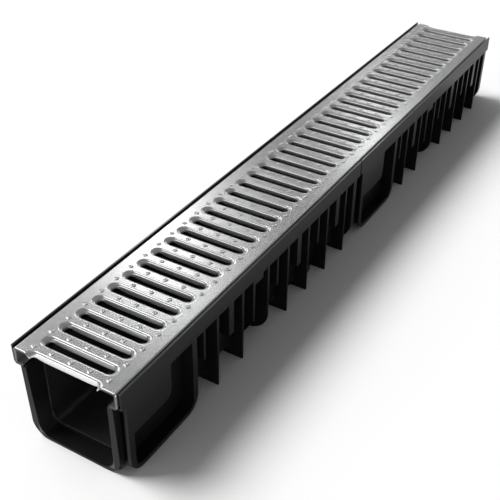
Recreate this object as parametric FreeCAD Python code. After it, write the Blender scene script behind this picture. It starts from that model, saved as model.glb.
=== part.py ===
import FreeCAD, Part
import math
import os

# Channel drain: two moulded plastic channels, joined end to end, with one pressed steel grating.
# Millimetres. +X runs along the drain, +Y across it, +Z up. The origin is under the middle of the
# whole length, spigot included, on the surface that the drain stands on.

V = FreeCAD.Vector

# Layout along the drain
module_pitch = 500.0
module_count = 2
places_per_module = 20
rail_joint_gap = 2.2
end_draft_deg = 2.0

# Channel section
channel_height = 115.0
rim_width = 130.0
rim_wall = 2.0
rim_above_grating = 0.5
ledge_thickness = 1.6
trough_inner_width = 95.0
trough_floor_width = 92.0
trough_wall = 2.4
trough_floor_height = 8.5
trough_floor_radius = 12.0

# Grating
grating_side_clearance = 3.0
grating_depth = 19.0
sheet = 1.4
lip_width = 8.7
fold_radius = 1.8
slot_mouth_width = 17.2
slot_mouth_length = 89.2
slot_roll = 3.0
slot_end_roll = 4.2
slot_flange_depth = 7.4
slot_end_depth = 4.6
slot_end_sides = 6

# Joint between channels
socket_depth = 23.5
socket_inner_width = 97.8
socket_floor_width = 93.6
socket_floor_height = 3.4
socket_radius = 16.0
socket_wall = 2.0
socket_clearance = 0.4
spigot_reach = 17.0
spigot_wall = 2.0
end_flange_start = 1.1
end_flange_thickness = 4.0
end_flange_width = 110.0
end_flange_radius = 20.0
second_flange_start = 9.0
second_flange_thickness = 3.0
second_flange_radius = 14.0

# Side frame on one side of each channel, where another channel can branch off
frame_start = 8.75
frame_width = 114.0
frame_base_height = 2.4
frame_outer_radius = 20.0
frame_rim = 8.0
frame_base_rim = 5.2
frame_inner_radius = 10.0
frame_lip_depth = 4.0
frame_wall = 2.2
cover_length = 61.0
cover_drop = 40.0
cover_thickness = 2.0
cover_radius = 10.0

# Ribs on both sides of each channel
rib_start = 11.4
fin_top_thickness = 4.4
fin_tip_thickness = 1.6
short_rib_thickness = 3.2
short_rib_drop = 38.6
wide_rib_thickness = 9.4
wide_rib_drop = 41.6
end_rib_setback = 8.7
end_rib_thickness = 8.6
end_rib_radius = 30.0
middle_fin_spread = 15.6
middle_fin_cut = 24.0
middle_fin_cut_height = 38.0
middle_fin_radius = 26.0
gusset_length = 19.0
gusset_drop = 7.0
outlet_radius = 51.0
outlet_height = 54.0
outlet_wall = 2.4

# Sizes that follow from the ones above
rib_pitch = module_pitch / places_per_module
slot_pitch = module_pitch / places_per_module
grating_length = module_pitch * module_count
grating_width = rim_width - 2 * (rim_wall + grating_side_clearance)
grating_top = channel_height - rim_above_grating
ledge_top = grating_top - grating_depth
rim_base = ledge_top - ledge_thickness
half_rim = rim_width / 2
near_end = -(grating_length + spigot_reach) / 2
trough_draft = (trough_inner_width - trough_floor_width) / 2 / (ledge_top - trough_floor_height)
socket_draft = (socket_inner_width - socket_floor_width) / 2 / (ledge_top - socket_floor_height)
lean = math.tan(math.radians(end_draft_deg))

# Rib places, counted in rib pitches from the near end of a channel
short_ribs = (5, 11, 15)
wide_ribs = (7, 13, 17)
full_fins = (6, 8, 12, 14, 16, 18)
plain_side_short_ribs = (1,)
plain_side_wide_ribs = (3,)
plain_side_fins = (2, 4)
wide_rib_shift = 1.3
outlet_rib = 15


def corner_arc(before, corner, after, radius):
    """Tangent points and middle point of the arc that rounds one corner."""
    to_before = (before - corner).normalize()
    to_after = (after - corner).normalize()
    half_angle = to_before.getAngle(to_after) / 2
    reach = radius / math.tan(half_angle)
    start = corner + to_before * reach
    end = corner + to_after * reach
    inward = (to_before + to_after).normalize()
    centre = corner + inward * (radius / math.sin(half_angle))
    middle = centre - inward * radius
    return start, middle, end


def outline(points, radii):
    """Closed wire through the points, each corner rounded by its own radius (0 keeps it sharp)."""
    count = len(points)
    edges = []
    ends = []
    for i, point in enumerate(points):
        if radii[i] <= 0:
            ends.append((point, point))
            continue
        start, middle, end = corner_arc(points[i - 1], point, points[(i + 1) % count], radii[i])
        edges.append(Part.Arc(start, middle, end).toShape())
        ends.append((start, end))
    for i in range(count):
        leave = ends[i][1]
        arrive = ends[(i + 1) % count][0]
        if (arrive - leave).Length > 1e-6:
            edges.append(Part.makeLine(leave, arrive))
    return Part.Wire(Part.__sortEdges__(edges))


def across(x, pairs, radii, length):
    """Solid from an outline in the section plane at x, extruded along the drain."""
    points = [V(x, y, z) for y, z in pairs]
    return Part.Face(outline(points, radii)).extrude(V(length, 0, 0))


def along(y, pairs, radii, depth):
    """Solid from an outline seen from the side at y, extruded across the drain."""
    points = [V(x, y, z) for x, z in pairs]
    return Part.Face(outline(points, radii)).extrude(V(0, depth, 0))


def trough_form(x, length, half_top, draft, floor, radius, top):
    """U-shaped solid with drafted sides, rounded at the floor."""
    half_floor = half_top - draft * (ledge_top - floor)
    half_at_top = half_top + draft * (top - ledge_top)
    pairs = [(-half_at_top, top), (-half_floor, floor), (half_floor, floor), (half_at_top, top)]
    return across(x, pairs, [0, radius, radius, 0], length)


def box(x0, x1, y0, y1, z0, z1):
    return Part.makeBox(x1 - x0, y1 - y0, z1 - z0, V(x0, y0, z0))


def plate_across(x, thickness, half_width, radius):
    """Flat plate across the drain, from the surface up to the rims, with rounded lower corners."""
    pairs = [(-half_width, rim_base), (-half_width, 0), (half_width, 0), (half_width, rim_base)]
    return across(x, pairs, [0, radius, radius, 0], thickness)


def fin(x):
    """Full-width fin, thinner at its tip."""
    top = fin_top_thickness / 2
    tip = fin_tip_thickness / 2
    pairs = [(x - top, rim_base), (x - tip, 0), (x + tip, 0), (x + top, rim_base)]
    return along(-half_rim, pairs, [0] * 4, rim_width)


def clipped_fin(x):
    """Fin with a slanted piece off each lower corner."""
    pairs = [(-half_rim, rim_base), (-half_rim, middle_fin_cut_height), (middle_fin_cut - half_rim, 0),
             (half_rim - middle_fin_cut, 0), (half_rim, middle_fin_cut_height), (half_rim, rim_base)]
    clip = across(x - fin_top_thickness, pairs, [0] * 6, 2 * fin_top_thickness)
    return fin(x).common(clip)


def rounded_fin(x):
    """Fin with rounded lower corners."""
    return fin(x).common(plate_across(x - fin_top_thickness, 2 * fin_top_thickness,
                                      half_rim, middle_fin_radius))


def rib(x, thickness, drop, y0, y1):
    """Rib of even thickness that hangs from the rims."""
    return box(x - thickness / 2, x + thickness / 2, y0, y1, rim_base - drop, rim_base)


def side_frame(x0):
    """U-shaped frame on one side: lip, thinner wall and back behind it, and the cover plate."""
    x1 = x0 + frame_width
    base = frame_base_height
    floor = base + frame_base_rim
    lip_pairs = [(x0, rim_base), (x0, base), (x1, base), (x1, rim_base)]
    hollow_pairs = [(x0 + frame_rim, rim_base), (x0 + frame_rim, floor),
                    (x1 - frame_rim, floor), (x1 - frame_rim, rim_base)]
    wall_pairs = [(x0 + frame_rim - frame_wall, rim_base), (x0 + frame_rim - frame_wall, floor - frame_wall),
                  (x1 - frame_rim + frame_wall, floor - frame_wall), (x1 - frame_rim + frame_wall, rim_base)]
    outer = [0, frame_outer_radius, frame_outer_radius, 0]
    middle = [0, frame_inner_radius + frame_wall, frame_inner_radius + frame_wall, 0]
    inner = [0, frame_inner_radius, frame_inner_radius, 0]
    depth = half_rim - trough_inner_width / 2
    lip = along(-half_rim, lip_pairs, outer, frame_lip_depth)
    wall = along(-half_rim, wall_pairs, middle, depth)
    hollow = along(-half_rim, hollow_pairs, inner, depth)
    cover_pairs = [(x0 + frame_rim, rim_base), (x0 + frame_rim, rim_base - cover_drop),
                   (x0 + frame_rim + cover_length, rim_base - cover_drop),
                   (x0 + frame_rim + cover_length, rim_base)]
    cover = along(-half_rim, cover_pairs, [0, 0, cover_radius, 0], cover_thickness)
    back_y = trough_inner_width / 2 + trough_wall
    back = box(x0 + frame_rim - frame_wall, x1 - frame_rim + frame_wall,
               -back_y, -back_y + trough_floor_radius, floor - frame_wall, rim_base)
    return lip.fuse(wall).cut(hollow).fuse(back), cover


def outlet():
    """Round boss under the floor, where a bottom outlet can be opened."""
    boss = Part.makeCylinder(outlet_radius, outlet_height, V(rib_start + rib_pitch * outlet_rib, 0, 0))
    inside = Part.makeCylinder(outlet_radius - outlet_wall, trough_floor_height - trough_wall,
                               V(rib_start + rib_pitch * outlet_rib, 0, 0))
    return boss.cut(inside)


def channel():
    """One moulded channel, its near end at x = 0."""
    far = module_pitch
    spigot_end = module_pitch + spigot_reach
    half_trough = trough_inner_width / 2
    half_socket = socket_inner_width / 2
    plate_far = module_pitch - end_rib_setback
    over = 1.0

    rails = box(0, far, -half_rim, half_rim, rim_base, channel_height)
    rail_hollow = box(-over, far + over, -half_rim + rim_wall, half_rim - rim_wall,
                      ledge_top, channel_height + over)
    shell = trough_form(socket_depth, plate_far - socket_depth,
                        half_trough + trough_wall, trough_draft,
                        trough_floor_height - trough_wall, trough_floor_radius + trough_wall, ledge_top)
    socket = trough_form(end_flange_start, socket_depth + socket_wall - end_flange_start,
                         half_socket + socket_wall,
                         socket_draft, socket_floor_height - socket_wall,
                         socket_radius + socket_wall, ledge_top)
    flange = plate_across(end_flange_start, end_flange_thickness + lean * rim_base,
                          end_flange_width / 2, end_flange_radius)
    second = plate_across(second_flange_start, second_flange_thickness,
                          end_flange_width / 2, second_flange_radius)
    solids = [shell, socket, flange, second]
    solids.append(plate_across(plate_far - end_rib_thickness, end_rib_thickness, half_rim, end_rib_radius))
    solids.append(outlet())

    spigot_half = half_socket - socket_clearance
    solids.append(trough_form(plate_far - end_rib_thickness, spigot_end - plate_far + end_rib_thickness,
                              spigot_half, socket_draft, socket_floor_height + socket_clearance,
                              socket_radius - socket_clearance, ledge_top))

    for index in full_fins:
        solids.append(fin(rib_start + rib_pitch * index))
    solids.append(clipped_fin(module_pitch / 2 - middle_fin_spread))
    solids.append(rounded_fin(module_pitch / 2 + middle_fin_spread))
    for index in short_ribs:
        solids.append(rib(rib_start + rib_pitch * index, short_rib_thickness, short_rib_drop,
                          -half_rim, half_rim))
    for index in wide_ribs:
        solids.append(rib(rib_start + rib_pitch * index + wide_rib_shift, wide_rib_thickness,
                          wide_rib_drop, -half_rim, half_rim))
    gusset_x = module_pitch / 2 - middle_fin_spread
    solids.append(box(gusset_x, gusset_x + gusset_length, -half_rim, half_rim,
                      rim_base - gusset_drop, rim_base))

    # The ribs go on along the side that has no frame
    for index in plain_side_short_ribs:
        solids.append(rib(rib_start + rib_pitch * index, short_rib_thickness, short_rib_drop, 0, half_rim))
    for index in plain_side_wide_ribs:
        solids.append(rib(rib_start + rib_pitch * index + wide_rib_shift, wide_rib_thickness,
                          wide_rib_drop, 0, half_rim))
    for index in plain_side_fins:
        x = rib_start + rib_pitch * index
        side = box(x - fin_top_thickness, x + fin_top_thickness, 0, half_rim, 0, rim_base)
        solids.append(fin(x).common(side))
    solids += side_frame(frame_start)

    body = rails.fuse(solids)
    hollows = [rail_hollow]
    hollows.append(trough_form(-over, socket_depth + over, half_socket, socket_draft,
                               socket_floor_height, socket_radius, ledge_top + over))
    hollows.append(trough_form(socket_depth, plate_far - end_rib_thickness - socket_depth, half_trough,
                               trough_draft, trough_floor_height, trough_floor_radius, ledge_top + over))
    hollows.append(trough_form(plate_far - end_rib_thickness - over,
                               spigot_end - plate_far + end_rib_thickness + 2 * over,
                               spigot_half - spigot_wall, socket_draft, trough_floor_height,
                               trough_floor_radius, ledge_top + over))
    body = body.cut(hollows)

    # The near end leans back towards the bottom, as it left its mould
    before = -rim_width
    lean_cut = along(-half_rim - over,
                     [(before, rim_base), (end_flange_start, rim_base),
                      (end_flange_start + lean * (rim_base + over), -over), (before, -over)],
                     [0] * 4, rim_width + 2 * over)
    rail_lean = along(-half_rim - over,
                      [(before, channel_height + over), (rail_joint_gap, channel_height + over),
                       (rail_joint_gap + lean * (channel_height - rim_base), rim_base), (before, rim_base)],
                      [0] * 4, rim_width + 2 * over)
    body = body.cut([lean_cut, rail_lean])
    return body.removeSplitter()


def slot_ring(x, inset, end_inset, z):
    """Points around one slot, drawn in at its sides and at its ends. Each round end has a few
    straight sides."""
    half = (slot_mouth_length - slot_mouth_width) / 2 + inset - end_inset
    r = slot_mouth_width / 2 - inset
    points = []
    for side in (1, -1):
        for i in range(slot_end_sides + 1):
            turn = math.pi * i / slot_end_sides
            points.append(V(x + side * r * math.cos(turn), side * (half + r * math.sin(turn)), z))
    return points


def slot_solid(x, levels):
    """Solid stacked through rings of one slot. Each level is a side inset, an end inset and a
    height, lowest first."""
    rings = [slot_ring(x, inset, end_inset, z) for inset, end_inset, z in levels]
    faces = [Part.Face(Part.makePolygon(ring + ring[:1])) for ring in (rings[0], rings[-1])]
    for low, high in zip(rings, rings[1:]):
        for i in range(len(low)):
            corners = [low[i - 1], low[i], high[i], high[i - 1], low[i - 1]]
            faces.append(Part.Face(Part.makePolygon(corners)))
    shell = Part.makeShell(faces)
    shell.sewShape()
    solid = Part.makeSolid(shell)
    if solid.Volume < 0:
        solid.reverse()
    return solid


def slot_collar(x):
    """Rolled edge that hangs under the sheet all round one slot, deeper along the two long sides."""
    z = grating_top
    inset = slot_roll - sheet
    end_inset = slot_end_roll - sheet
    slope = sheet * math.sqrt(2)
    out = sheet - slope
    edge = slot_solid(x, [(inset, end_inset, z - slot_end_depth), (inset, end_inset, z - slope - inset),
                          (out, out, z - sheet), (out, out, z - sheet / 2)])
    reach = (slot_mouth_length - slot_mouth_width) / 2 + slot_roll - slot_end_roll
    corner = slot_flange_depth - slot_end_depth
    pairs = [(-reach, z - slot_end_depth + sheet), (-reach, z - slot_end_depth),
             (corner - reach, z - slot_flange_depth), (reach - corner, z - slot_flange_depth),
             (reach, z - slot_end_depth), (reach, z - slot_end_depth + sheet)]
    inner = slot_mouth_width / 2 - slot_roll
    flanges = [across(x + start, pairs, [0] * 6, sheet) for start in (inner, -inner - sheet)]
    return edge.fuse(flanges)


def slot_cutter(x):
    """Clear way through one slot, with the rolled edge at its mouth."""
    z = grating_top
    return slot_solid(x, [(slot_roll, slot_end_roll, z - slot_flange_depth - sheet),
                          (slot_roll, slot_end_roll, z - slot_roll), (0, 0, z), (0, 0, z + sheet)])


def grating():
    """Folded steel sheet with a row of slots; the row begins and ends with half a slot."""
    half = grating_width / 2
    z = grating_top
    r = fold_radius
    pairs = [(-half, z), (-half, ledge_top), (-half + lip_width, ledge_top),
             (-half + lip_width, ledge_top + sheet), (-half + sheet, ledge_top + sheet),
             (-half + sheet, z - sheet), (half - sheet, z - sheet), (half - sheet, ledge_top + sheet),
             (half - lip_width, ledge_top + sheet), (half - lip_width, ledge_top), (half, ledge_top),
             (half, z)]
    radii = [r, r, 0, 0, r - sheet, r - sheet, r - sheet, r - sheet, 0, 0, r, r]
    start = near_end
    sheet_solid = across(start, pairs, radii, grating_length)
    count = int(round(grating_length / slot_pitch))
    places = [start + slot_pitch * k for k in range(count + 1)]
    collars = [slot_collar(x) for x in places]
    cutters = [slot_cutter(x) for x in places]
    body = sheet_solid.fuse(collars).cut(cutters)
    keep = box(start, start + grating_length, -half - 1, half + 1, ledge_top - 1, z + 1)
    return body.common(keep).removeSplitter()


def save(name, shape):
    os.makedirs("parts", exist_ok=True)
    shape.exportStep("parts/" + name + ".step")
    print(name, "solids", len(shape.Solids), "valid", shape.isValid(), "volume", round(shape.Volume))


names = ("channel_front", "channel_rear")
one_channel = channel()
for index in range(module_count):
    placed = one_channel.copy()
    placed.translate(V(near_end + module_pitch * index, 0, 0))
    save(names[index], placed)
save("grating", grating())
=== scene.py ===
import math

import bmesh
import bpy
import numpy as np
from mathutils import Matrix, Vector


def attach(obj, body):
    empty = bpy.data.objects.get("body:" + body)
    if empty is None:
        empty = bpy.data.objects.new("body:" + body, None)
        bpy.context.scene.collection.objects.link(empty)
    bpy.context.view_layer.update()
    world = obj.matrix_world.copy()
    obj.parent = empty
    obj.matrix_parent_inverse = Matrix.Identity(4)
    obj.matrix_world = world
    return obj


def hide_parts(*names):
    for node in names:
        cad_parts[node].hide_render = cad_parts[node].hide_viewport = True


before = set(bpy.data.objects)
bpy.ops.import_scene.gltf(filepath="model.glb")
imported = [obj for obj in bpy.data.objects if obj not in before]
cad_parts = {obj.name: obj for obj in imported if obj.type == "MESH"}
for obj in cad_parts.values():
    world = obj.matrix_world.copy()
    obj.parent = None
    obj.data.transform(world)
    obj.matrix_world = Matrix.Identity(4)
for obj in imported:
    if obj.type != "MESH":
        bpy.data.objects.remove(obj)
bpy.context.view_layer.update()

# Lengths are in metres. X runs along the drain, Y across it, and Z up from the floor.

# The grating's sheet: where it starts, its top, its thickness, its folds and its lips on the ledges
NEAR_END = -0.5085
PITCH = 0.025
SLOTS = 40
LENGTH = PITCH * SLOTS
TOP = 0.1145
LEDGE = 0.0955
HALF_WIDTH = 0.0606
SHEET = 0.0014
FOLD = 0.0016
LIP = 0.0087

# One slot: its mouth, the rolled edges round the mouth, and the flange below them, which is deep
# along the sides and rises near the ends
MOUTH_WIDTH = 0.0172
MOUTH_LENGTH = 0.0920
SLOT_SHIFT = 0.0003
ROLL = 0.0030
END_ROLL = 0.0060
END_FALL = 0.0043
FLANGE_DEPTH = 0.0074
END_DEPTH = 0.0047
FLANGE_REACH = 0.0385
FLANGE_RAMP = 0.0056
CELL_REACH = 0.0475
END_STEPS = 16
SIDE_STEPS = 8
ROLL_ANGLES = (8, 16, 24, 33, 42, 51, 60, 70, 80, 90)

# The raised grip points: five on each bar, each a ring-shaped bump with shares of its radius and height
PIP_ROWS = (0.0453, 0.0231, 0.0003, -0.0224, -0.0449)
PIP_RADIUS = 0.0031
PIP_HEIGHT = 0.00042
PIP_SHARES = (0.0, 0.12, 0.24, 0.35, 0.50, 0.70, 0.88, 1.0)
PIP_HEIGHTS = (0.38, 0.52, 0.90, 1.00, 0.83, 0.48, 0.15, 0.0)
PIP_STEPS = 12
PIP_SUNK = 0.0004

# The trough between the channels' walls
TROUGH_HALF = 0.0475
TROUGH_FLOOR = 0.0065

# The camera, and the studio with its lamps
CAMERA_PLACE = (-0.94213, -0.4543, 0.67323)
CAMERA_RIGHT = (0.51616, -0.85641, 0.01207)
CAMERA_UP = (0.48499, 0.30386, 0.82003)
FOCAL_SHARE = 893.56 / 500
SENSOR = 36.0
WORLD_GREY = 0.18
STUDIO_REACH = 26.0
WALL_RISE = 6.0
LAMP_DISTANCE = 16.0
SUN_STRENGTH = 2.85
SUN_ANGLE = 30
SUN_DIRECTION = (108, 54)
# Name, azimuth, elevation, width, height and roll in degrees, and radiance
SOFTBOXES = (
    ("left_box", 41.0, 33.0, 16, 11, -27, 0.9),
    ("left_core", 39.0, 34.6, 4.4, 3.6, -27, 5.2),
    ("far_left_box", 67, 34, 20, 22, 0, 1.35),
    ("right_box", 20.3, 28.9, 9.7, 9, 40, 0.35),
    ("right_core", 21.9, 27.7, 2.4, 2.4, 40, 5.6),
    ("low_right_box", 20, 7.0, 22, 9, 0, 1.7),
    ("high_box", 91, 57, 31, 12, 0, 2.4),
    ("low_box", 157, 7, 46, 28, 0, 2.2),
)


def grey(level):
    return (level, level, level, 1.0)


class Link:
    """A node's socket. Arithmetic on it adds the Math nodes for the sum, product or difference."""

    def __init__(self, finish, socket):
        self.finish = finish
        self.socket = socket

    def math(self, operation, first, second=0.0):
        return self.finish.node("ShaderNodeMath", {"operation": operation}, {0: first, 1: second})

    def __add__(self, other):
        return self.math("ADD", self, other)

    def __sub__(self, other):
        return self.math("SUBTRACT", self, other)

    def __rsub__(self, other):
        return self.math("SUBTRACT", other, self)

    def __mul__(self, other):
        return self.math("MULTIPLY", self, other)

    def __abs__(self):
        return self.math("ABSOLUTE", self)

    __radd__ = __add__
    __rmul__ = __mul__


class Finish:
    """One material and its nodes."""

    def __init__(self, name):
        self.material = bpy.data.materials.new(name)
        self.material.use_nodes = True
        self.tree = self.material.node_tree
        self.tree.nodes.clear()

    def node(self, kind, settings, inputs, output=0):
        """Adds a node, sets it up, fills its sockets with values or links, and returns one output."""
        made = self.tree.nodes.new(kind)
        for key, value in settings.items():
            if key == "stops":
                ramp = made.color_ramp
                while len(ramp.elements) < len(value):
                    ramp.elements.new(0.5)
                for element, (place, level) in zip(ramp.elements, value):
                    element.position = place
                    element.color = grey(level)
            else:
                setattr(made, key, value)
        for key, value in inputs.items():
            if isinstance(value, Link):
                self.tree.links.new(value.socket, made.inputs[key])
            else:
                made.inputs[key].default_value = value
        return Link(self, made.outputs[output])

    def place(self, scale=(1.0, 1.0, 1.0)):
        """Object coordinates, stretched along each axis."""
        coords = self.node("ShaderNodeTexCoord", {}, {}, "Object")
        return self.node("ShaderNodeMapping", {}, {"Vector": coords, "Scale": scale})

    def axis(self, where, number):
        """One coordinate of a place."""
        return self.node("ShaderNodeSeparateXYZ", {}, {"Vector": where}, number)

    def noise(self, where, scale, detail, roughness):
        """Noise from 0 to 1 at a number of cells per metre."""
        return self.node("ShaderNodeTexNoise", {}, {"Vector": where, "Scale": scale,
                                                    "Detail": detail, "Roughness": roughness})

    def ramp(self, value, stops):
        """Grey level between stops, each with its place and level."""
        return self.node("ShaderNodeValToRGB", {"stops": stops}, {"Fac": value})

    def span(self, value, start, end, low=0.0, high=1.0):
        """Goes from low to high while the value goes from start to end, and stays there."""
        return self.node("ShaderNodeMapRange", {}, {"Value": value, "From Min": start, "From Max": end,
                                                    "To Min": low, "To Max": high})

    def mix(self, factor, first, second, blend="MIX"):
        """Colour between two colours, or blended in the given way."""
        return self.node("ShaderNodeMix", {"data_type": "RGBA", "blend_type": blend},
                         {"Factor": factor, 6: first, 7: second}, 2)

    def blend(self, factor, first, second):
        """Ends the material with a mix of two shaders and returns it."""
        return self.close(self.node("ShaderNodeMixShader", {}, {0: factor, 1: first, 2: second}))

    def close(self, shader):
        """Ends the material with its shader and returns it."""
        output = self.tree.nodes.new("ShaderNodeOutputMaterial")
        self.tree.links.new(shader.socket, output.inputs["Surface"])
        return self.material


def galvanised_steel():
    """Zinc-coated sheet: a bright skin over a dull one, with fine grain, faint cloudy spangle and
    streaks along the rolling direction. It is rougher down in the slots and inside the folded
    sides, with painted shade in its colour there, and the sheet's cut ends are dull and dark."""
    f = Finish("galvanised_steel")
    where = f.place()
    along, across, height = (f.axis(where, number) for number in range(3))
    grain = f.noise(where, 1400.0, 2.0, 0.6)
    cloud = f.noise(where, 130.0, 3.0, 0.55)
    streak = f.noise(f.place((18.0, 700.0, 700.0)), 1.0, 2.0, 0.5)
    spangle = f.node("ShaderNodeTexVoronoi", {"feature": "SMOOTH_F1"},
                     {"Vector": where, "Scale": 420.0, "Smoothness": 0.6}, "Distance")
    tone = grain * 0.30 + cloud * 0.45 + streak * 0.15 + spangle * 0.20
    unshaded = f.mix(tone, (0.76, 0.765, 0.775, 1.0), (0.94, 0.945, 0.95, 1.0))
    # Painted shade, multiplied into the colour below the sheet's top: on the slots' walls it is darkest
    # next to the open end and lightens along the first quarter metre, the cut half slot is left unshaded,
    # and inside the folded sides it is an even grey
    from_end = f.span(along, NEAR_END, NEAR_END + 0.25)
    slot_shade = f.ramp(from_end, [(0.0, 1.0), (0.034, 1.0), (0.038, 0.42), (0.3, 0.60), (1.0, 0.92)])
    # Painted shade: the mask for the even grey inside the folded sides
    fold_shade_mask = f.span(abs(across), 0.0475, 0.0495)
    shade = f.mix(fold_shade_mask, slot_shade, grey(0.42))
    # Painted shade only below the top: down the slot walls and inside the folds
    deep = f.span(height, TOP - 0.0020, TOP - 0.0034)
    shaded = f.mix(deep, unshaded, shade, "MULTIPLY")
    off_middle = abs(along - (NEAR_END + LENGTH / 2))
    cut = off_middle.math("GREATER_THAN", off_middle, LENGTH / 2 - 0.00003)
    colour = f.mix(cut, shaded, (0.13, 0.13, 0.133, 1.0))
    rough = 0.16 + cloud * 0.06 + grain * 0.05 + cut * 0.4
    relief = grain * 0.5 + spangle * 0.5 + cloud * 1.2
    normal = f.node("ShaderNodeBump", {}, {"Strength": 0.028, "Distance": 0.0003, "Height": relief})
    bright = f.node("ShaderNodeBsdfPrincipled", {},
                    {"Base Color": colour, "Metallic": 1.0, "Roughness": rough, "Normal": normal})
    dull = f.node("ShaderNodeBsdfPrincipled", {},
                  {"Base Color": colour, "Metallic": 1.0, "Roughness": 0.62, "Normal": normal})
    inside = f.span(height, TOP - 0.0016, TOP - 0.0036, 0.22, 0.80)
    return f.blend(inside, bright, dull)


def channel_plastic():
    """Black moulded plastic: glossy on the rims and in the trough, with a lighter colour there as
    painted light, satin outside, with faint flow marks and a fine skin."""
    f = Finish("channel_plastic")
    where = f.place()
    across, height = f.axis(where, 1), f.axis(where, 2)
    skin = f.noise(where, 2200.0, 2.0, 0.6)
    cloud = f.noise(where, 45.0, 3.0, 0.55)
    flow = f.noise(f.place((14.0, 160.0, 160.0)), 1.0, 3.0, 0.5)
    tone = cloud * 0.6 + flow * 0.4
    dark = f.mix(tone, (0.006, 0.006, 0.0065, 1.0), (0.015, 0.015, 0.016, 1.0))
    # Painted light: a lighter copy of the black for the rims and the trough's inside
    painted_light_colour = f.mix(tone, (0.022, 0.022, 0.023, 1.0), (0.036, 0.036, 0.037, 1.0))
    rim = f.span(height, TOP - 0.0004, TOP + 0.0003)
    within = f.span(abs(across), TROUGH_HALF + 0.0003, TROUGH_HALF - 0.0003)
    above = f.span(height, TROUGH_FLOOR - 0.0005, TROUGH_FLOOR + 0.0005)
    # The glossy material with its painted-light colour goes on the rims and, at three quarters, in the
    # trough
    gloss_and_painted_light = rim.math("MAXIMUM", rim, within * above * 0.75)
    rough = 0.24 + cloud * 0.08 + flow * 0.05
    rounded = f.node("ShaderNodeBevel", {"samples": 6}, {"Radius": 0.0006})
    normal = f.node("ShaderNodeBump", {}, {"Strength": 0.08, "Distance": 0.0002,
                                           "Height": skin * 0.4 + cloud * 2.0, "Normal": rounded})
    satin = f.node("ShaderNodeBsdfPrincipled", {},
                   {"Base Color": dark, "Roughness": rough, "Specular IOR Level": 0.10,
                    "Normal": normal})
    # Glossy copy, with the painted-light colour
    glossy = f.node("ShaderNodeBsdfPrincipled", {},
                    {"Base Color": painted_light_colour, "Roughness": rough - 0.14, "Specular IOR Level": 0.85,
                     "Normal": normal})
    return f.blend(gloss_and_painted_light, satin, glossy)


def pale_floor():
    """Even, nearly white studio floor."""
    f = Finish("pale_floor")
    haze = f.noise(f.place(), 1.5, 1.0, 0.5)
    return f.close(f.node("ShaderNodeBsdfPrincipled", {},
                          {"Base Color": f.mix(haze, grey(0.93), grey(0.97)), "Roughness": 0.9,
                           "Specular IOR Level": 0.0}))


def bright_wall():
    """Evenly lit white wall."""
    f = Finish("bright_wall")
    return f.close(f.node("ShaderNodeEmission", {}, {"Color": grey(1.0), "Strength": 1.0}))


def grid_faces(rows, columns, closed=False):
    """Quads of a grid whose point in row i and column j has the number i * columns + j. A closed
    grid joins its last column to its first."""
    i, j = np.meshgrid(np.arange(rows - 1), np.arange(columns if closed else columns - 1),
                       indexing="ij")
    k = (j + 1) % columns
    corners = (i * columns + j, i * columns + k, (i + 1) * columns + k, (i + 1) * columns + j)
    return np.stack(corners, -1).reshape(-1, 4)


def circle(steps):
    """Equal angles round a circle."""
    return np.linspace(0, 2 * np.pi, steps + 1)[:-1]


def new_object(name, points, faces, material):
    """Mesh object from points and lists of their numbers."""
    mesh = bpy.data.meshes.new(name)
    mesh.from_pydata(points.tolist(), [], faces)
    mesh.materials.append(material)
    made = bpy.data.objects.new(name, mesh)
    bpy.context.scene.collection.objects.link(made)
    return made


def slot_cell():
    """Upper skin of the sheet around one slot, over one pitch. Rings run round the slot: the first
    lie on the flat sheet between the cell's rectangle and the mouth, the next follow a quarter
    circle down into the mouth, ROLL wide and deep at the sides, END_ROLL wide and END_FALL deep at
    the ends, and the last go down the flange, which is deeper at the sides."""
    half = (MOUTH_LENGTH - MOUTH_WIDTH) / 2
    turn = np.linspace(0, np.pi, END_STEPS + 1)
    side = np.linspace(1, -1, SIDE_STEPS + 1)[1:-1]
    zero = np.zeros(len(side))
    share_y = np.concatenate([1 + 0 * turn, side, -1 + 0 * turn, -side])
    nx = np.concatenate([np.cos(turn), zero - 1, -np.cos(turn), zero + 1])
    ny = np.concatenate([np.sin(turn), zero, -np.sin(turn), zero])
    # The rectangle's point for each direction: sideways up to 45 degrees, then along the far edge
    steep = np.abs(ny) > np.abs(nx)
    tangent = np.minimum(np.abs(ny), np.abs(nx)) / np.maximum(np.abs(ny), np.abs(nx))
    reach = CELL_REACH - half
    bx = np.where(steep, np.sign(nx) * tangent * PITCH / 2, np.sign(nx) * PITCH / 2)
    by = np.where(steep, np.sign(ny) * reach, np.sign(ny) * tangent * reach) + share_y * half
    fall = ROLL + (END_FALL - ROLL) * ny ** 2

    def ring(side_inset, end_inset, depth):
        radius = MOUTH_WIDTH / 2 - side_inset
        spread = half + side_inset - end_inset
        return nx * radius, share_y * spread + ny * radius + SLOT_SHIFT, -depth

    mouth_x, mouth_y, level = ring(0.0, 0.0, 0 * nx)
    rings = [(bx + (mouth_x - bx) * share, by + (mouth_y - by) * share, level)
             for share in (0.0, 0.5, 0.92, 1.0)]
    for angle in np.radians(ROLL_ANGLES):
        rings.append(ring(ROLL * np.sin(angle), END_ROLL * np.sin(angle), fall * (1 - np.cos(angle))))
    deep = np.clip((FLANGE_REACH - np.abs(rings[-1][1])) / FLANGE_RAMP, 0, 1)
    depth = END_DEPTH + (FLANGE_DEPTH - END_DEPTH) * deep
    for share in (0.5, 1.0):
        rings.append(ring(ROLL, END_ROLL, fall + (depth - fall) * share))
    return np.array([np.stack(ring, -1) for ring in rings])


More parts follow.
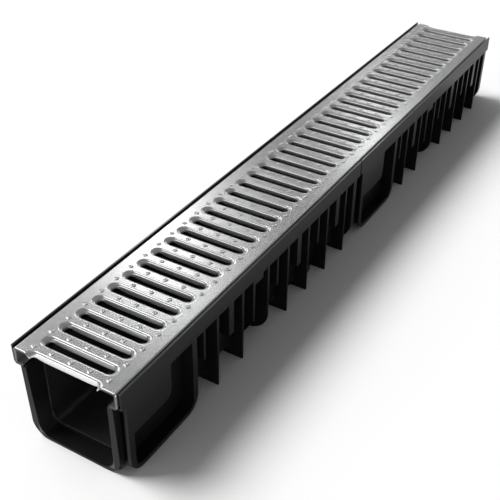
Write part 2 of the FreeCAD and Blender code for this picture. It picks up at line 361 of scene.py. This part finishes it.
def edge_profile():
    """Section of the sheet's outer skin from the cells to the tip of the lip: flat, folded down with
    the radius FOLD, down the side, and folded in along the ledge."""
    bend = np.radians(np.linspace(0, 90, 6))
    bend_start = HALF_WIDTH - FOLD
    fall = TOP - LEDGE
    y = [CELL_REACH, (CELL_REACH + bend_start) / 2, bend_start - 0.0003]
    z = [0.0, 0.0, 0.0]
    y += list(bend_start + FOLD * np.sin(bend))
    z += list(FOLD * np.cos(bend) - FOLD)
    y += list(bend_start + FOLD * np.cos(bend))
    z += list(FOLD - fall - FOLD * np.sin(bend))
    y += [HALF_WIDTH - LIP]
    z += [-fall]
    return np.array(y), np.array(z)


def grating():
    """Pressed steel grating: a slot at each pitch, half a slot at both ends, and folded sides."""
    cell = slot_cell()
    rings, around = cell.shape[:2]
    flat_cell = cell.reshape(-1, 3)
    quads = grid_faces(rings, around, True)
    points = []
    faces = []
    count = 0
    for k in range(SLOTS + 1):
        use = quads
        if k in (0, SLOTS):
            inward = 1 if k == 0 else -1
            use = quads[(flat_cell[quads][:, :, 0] * inward > -1e-7).all(1)]
        points.append(flat_cell + (NEAR_END + PITCH * k, 0, TOP))
        faces.append(use + count)
        count += len(flat_cell)
    # The folded sides share the cells' points along their edges
    edge = cell[0][np.abs(cell[0][:, 1]) > CELL_REACH - 1e-6][:, 0]
    starts = NEAR_END + PITCH * np.arange(SLOTS + 1)
    along = np.unique(np.round((starts[:, None] + np.unique(np.round(edge, 7))).ravel(), 7))
    along = along[(along > NEAR_END - 1e-7) & (along < NEAR_END + LENGTH + 1e-7)]
    y, z = edge_profile()
    for sign in (1, -1):
        gx, gy = np.meshgrid(along, y * sign, indexing="ij")
        gz = np.broadcast_to(z, gx.shape)
        strip = grid_faces(len(along), len(y)) + count
        points.append(np.stack([gx, gy, gz + TOP], -1).reshape(-1, 3))
        faces.append(strip if sign == 1 else strip[:, ::-1])
        count += gx.size
    used, faces = np.unique(np.concatenate(faces), return_inverse=True)
    made = new_object("steel_grating", np.concatenate(points)[used], faces.reshape(-1, 4).tolist(), steel)
    join_skin(made.data)
    skin = made.modifiers.new("sheet", "SOLIDIFY")
    skin.thickness = SHEET
    skin.offset = -1.0
    skin.use_even_offset = True
    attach(made, "root")
    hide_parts("grating")


def join_skin(mesh):
    """Merges the coinciding points of an open skin, and turns its faces so that its flat top faces
    up."""
    work = bmesh.new()
    work.from_mesh(mesh)
    bmesh.ops.remove_doubles(work, verts=work.verts, dist=2e-6)
    work.normal_update()
    bmesh.ops.recalc_face_normals(work, faces=work.faces)
    top = max(work.faces, key=lambda face: face.calc_center_median().z + 0.01 * abs(face.normal.z))
    if top.normal.z < 0:
        bmesh.ops.reverse_faces(work, faces=work.faces)
    work.to_mesh(mesh)
    work.free()
    mesh.shade_smooth()


def pips():
    """Raised grip points: each is a ring-shaped bump round a hollow, closed by a ring sunk in the
    sheet. One point each closes its top and its underside."""
    turn = circle(PIP_STEPS)
    cos, sin, zero = np.cos(turn), np.sin(turn), 0 * turn
    radius = np.array(PIP_SHARES) * PIP_RADIUS
    height = np.array(PIP_HEIGHTS) * PIP_HEIGHT
    slope = np.gradient(height, radius)
    rings = [np.stack([cos * r, sin * r, zero + h], -1) for r, h in zip(radius[1:], height[1:])]
    rings.append(rings[-1] * 0.98 - (0, 0, PIP_SUNK))
    points = np.concatenate([[(0, 0, height[0])], *rings, [(0, 0, -PIP_SUNK)]])
    normals = [np.stack([-cos * m, -sin * m, zero + 1], -1) for m in slope[1:]]
    normals.append(np.stack([cos, sin, zero], -1))
    normals = np.concatenate([[(0, 0, 1)], *normals, [(0, 0, -1)]])
    normals /= np.linalg.norm(normals, axis=1)[:, None]
    here = np.arange(PIP_STEPS)
    after = (here + 1) % PIP_STEPS
    under = len(points) - 1
    first = under - PIP_STEPS
    faces = (grid_faces(len(rings), PIP_STEPS, True)[:, ::-1] + 1).tolist()
    faces += [[0, 1 + a, 1 + b] for a, b in zip(here, after)]
    faces += [[under, first + b, first + a] for a, b in zip(here, after)]
    places = [(NEAR_END + PITCH * (k + 0.5), row, TOP) for k in range(SLOTS) for row in PIP_ROWS]
    made = new_object("grating_pips", np.concatenate([points + place for place in places]),
                      [[int(v) + len(points) * n for v in face] for n in range(len(places))
                       for face in faces], steel)
    made.data.shade_smooth()
    made.data.normals_split_custom_set_from_vertices(np.tile(normals, (len(places), 1)).tolist())
    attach(made, "root")


def camera():
    """Camera at the photograph's place, solved from the grating's slots and the rims."""
    data = bpy.data.cameras.new("view")
    made = bpy.data.objects.new("view", data)
    bpy.context.scene.collection.objects.link(made)
    right = Vector(CAMERA_RIGHT).normalized()
    back = right.cross(Vector(CAMERA_UP)).normalized()
    up = back.cross(right)
    turn = Matrix((right, up, back)).transposed().to_4x4()
    made.matrix_world = Matrix.Translation(CAMERA_PLACE) @ turn
    data.sensor_width = SENSOR
    data.lens = FOCAL_SHARE * SENSOR
    data.shift_x = -0.001
    data.shift_y = 0.001
    data.clip_start = 0.05
    data.clip_end = 100.0
    bpy.context.scene.camera = made


def toward(azimuth, elevation):
    """Unit vector from its azimuth, counted from +X towards +Y, and its elevation, in degrees."""
    a, e = math.radians(azimuth), math.radians(elevation)
    return Vector((math.cos(a) * math.cos(e), math.sin(a) * math.cos(e), math.sin(e)))


def soft_sun():
    """Wide sun that lights the floor evenly and is not mirrored."""
    data = bpy.data.lights.new("soft_sun", "SUN")
    data.energy = SUN_STRENGTH
    data.angle = math.radians(SUN_ANGLE)
    made = bpy.data.objects.new("soft_sun", data)
    bpy.context.scene.collection.objects.link(made)
    made.rotation_mode = "QUATERNION"
    made.rotation_quaternion = toward(*SUN_DIRECTION).to_track_quat("Z", "Y")
    made.visible_glossy = False


def softbox(name, azimuth, elevation, wide, high, roll, radiance):
    """Far rectangular lamp that faces the drain. Its size is given by the angles that it fills, and
    its power is its radiance times pi times its area."""
    direction = toward(azimuth, elevation)
    data = bpy.data.lights.new(name, "AREA")
    data.shape = "RECTANGLE"
    data.size = 2 * LAMP_DISTANCE * math.tan(math.radians(wide / 2))
    data.size_y = 2 * LAMP_DISTANCE * math.tan(math.radians(high / 2))
    data.energy = radiance * math.pi * data.size * data.size_y
    made = bpy.data.objects.new(name, data)
    bpy.context.scene.collection.objects.link(made)
    turn = direction.to_track_quat("Z", "Y").to_matrix() @ Matrix.Rotation(math.radians(roll), 3, "Z")
    made.matrix_world = Matrix.Translation(direction * LAMP_DISTANCE) @ turn.to_4x4()
    made.visible_camera = False


def studio():
    """Grey surroundings, a pale floor with a low pale wall far round it, a soft sun, and softboxes
    for the sheen of the steel."""
    world = bpy.data.worlds.new("studio")
    world.use_nodes = True
    world.node_tree.nodes["Background"].inputs["Color"].default_value = grey(WORLD_GREY)
    bpy.context.scene.world = world
    soft_sun()
    for box in SOFTBOXES:
        softbox(*box)
    corners = np.array([(-1, -1, 0), (1, -1, 0), (1, 1, 0), (-1, 1, 0)], float) * STUDIO_REACH
    floor = new_object("studio_floor", corners, [[0, 1, 2, 3]], pale_floor())
    turn = circle(48)
    ring = np.stack([np.cos(turn), np.sin(turn), 0 * turn], -1) * (STUDIO_REACH - 1)
    rise = (0, 0, STUDIO_REACH * math.tan(math.radians(WALL_RISE)))
    wall = new_object("studio_wall", np.concatenate([ring, ring + rise]),
                      grid_faces(2, len(turn), True)[:, ::-1].tolist(), bright_wall())


steel = galvanised_steel()
plastic = channel_plastic()
camera()
studio()
for name in ("channel_front", "channel_rear"):
    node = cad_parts[name]
    for slot in node.material_slots:
        slot.material = plastic
    if not node.material_slots:
        node.data.materials.append(plastic)
grating()
pips()

scene = bpy.context.scene
scene.view_settings.view_transform = "Standard"

bpy.context.view_layer.update()
